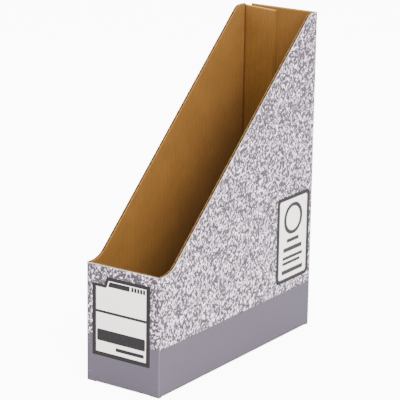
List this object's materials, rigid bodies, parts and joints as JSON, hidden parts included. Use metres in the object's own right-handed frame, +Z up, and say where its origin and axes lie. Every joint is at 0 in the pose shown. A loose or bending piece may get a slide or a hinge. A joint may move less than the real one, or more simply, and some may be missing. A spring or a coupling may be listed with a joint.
{
  "type": "magazine file holder",
  "caption": "Upright magazine file holder folded from printed corrugated board, with sloping side walls and a low front.",
  "frame": {"origin": "centre of the footprint, on the surface the holder stands on", "axes": "+Z up, the low front wall faces -Y, width along X"},
  "size_m": [0.084, 0.26, 0.322],
  "materials": {
    "printed_liner": "matte",
    "kraft_liner": "matte",
    "fluting_medium": "matte",
    "glue": "satin"
  },
  "bodies": {
    "right_side": {"right_side_outer_liner": "printed_liner", "right_side_fluting": "fluting_medium", "right_side_inner_liner": "kraft_liner"},
    "front": {"front_outer_liner": "printed_liner", "front_fluting": "fluting_medium", "front_inner_liner": "kraft_liner"},
    "left_side": {"left_side_outer_liner": "printed_liner", "left_side_fluting": "fluting_medium", "left_side_inner_liner": "kraft_liner"},
    "back": {"back_outer_liner": "printed_liner", "back_fluting": "fluting_medium", "back_inner_liner": "kraft_liner", "glue_flap_outer_liner": "printed_liner", "glue_flap_fluting": "fluting_medium", "glue_flap_inner_liner": "kraft_liner", "glue_strip": "glue"},
    "right_base_flap": {"right_base_flap_outer_liner": "printed_liner", "right_base_flap_fluting": "fluting_medium", "right_base_flap_inner_liner": "kraft_liner"},
    "left_base_flap": {"left_base_flap_outer_liner": "printed_liner", "left_base_flap_fluting": "fluting_medium", "left_base_flap_inner_liner": "kraft_liner"},
    "front_base_flap": {"front_base_flap_outer_liner": "printed_liner", "front_base_flap_fluting": "fluting_medium", "front_base_flap_inner_liner": "kraft_liner"},
    "back_base_flap": {"back_base_flap_outer_liner": "printed_liner", "back_base_flap_fluting": "fluting_medium", "back_base_flap_inner_liner": "kraft_liner"}
  },
  "joints": [
    {"name": "front_crease", "type": "hinge", "parent": "right_side", "child": "front", "pos_m": [0.042, -0.13, 0.058], "axis": [0, 0, 1], "range_deg": [0, 88]},
    {"name": "left_front_crease", "type": "hinge", "parent": "front", "child": "left_side", "pos_m": [-0.039, -0.127, 0.058], "axis": [0, 0, 1], "range_deg": [-88, 0]},
    {"name": "back_crease", "type": "hinge", "parent": "right_side", "child": "back", "pos_m": [0.039, 0.124, 0.161], "axis": [0, 0, 1], "range_deg": [0, 88]},
    {"name": "right_base_crease", "type": "hinge", "parent": "right_side", "child": "right_base_flap", "pos_m": [0.042, 0, 0], "axis": [0, -1, 0], "range_deg": [0, 90]},
    {"name": "left_base_crease", "type": "hinge", "parent": "left_side", "child": "left_base_flap", "pos_m": [-0.042, 0, 0], "axis": [0, 1, 0], "range_deg": [0, 90]},
    {"name": "front_base_crease", "type": "hinge", "parent": "front", "child": "front_base_flap", "pos_m": [0, -0.13, 0.003], "axis": [-1, 0, 0], "range_deg": [0, 90]},
    {"name": "back_base_crease", "type": "hinge", "parent": "back", "child": "back_base_flap", "pos_m": [0, 0.13, 0.003], "axis": [1, 0, 0], "range_deg": [0, 90]}
  ],
  "couplings": [
    {"joint": "left_front_crease", "follows": "front_crease", "ratio": -1},
    {"joint": "back_crease", "follows": "front_crease", "ratio": 1},
    {"joint": "right_base_crease", "follows": "front_crease", "ratio": 1.0227},
    {"joint": "left_base_crease", "follows": "front_crease", "ratio": 1.0227},
    {"joint": "front_base_crease", "follows": "front_crease", "ratio": 1.0227},
    {"joint": "back_base_crease", "follows": "front_crease", "ratio": 1.0227}
  ]
}
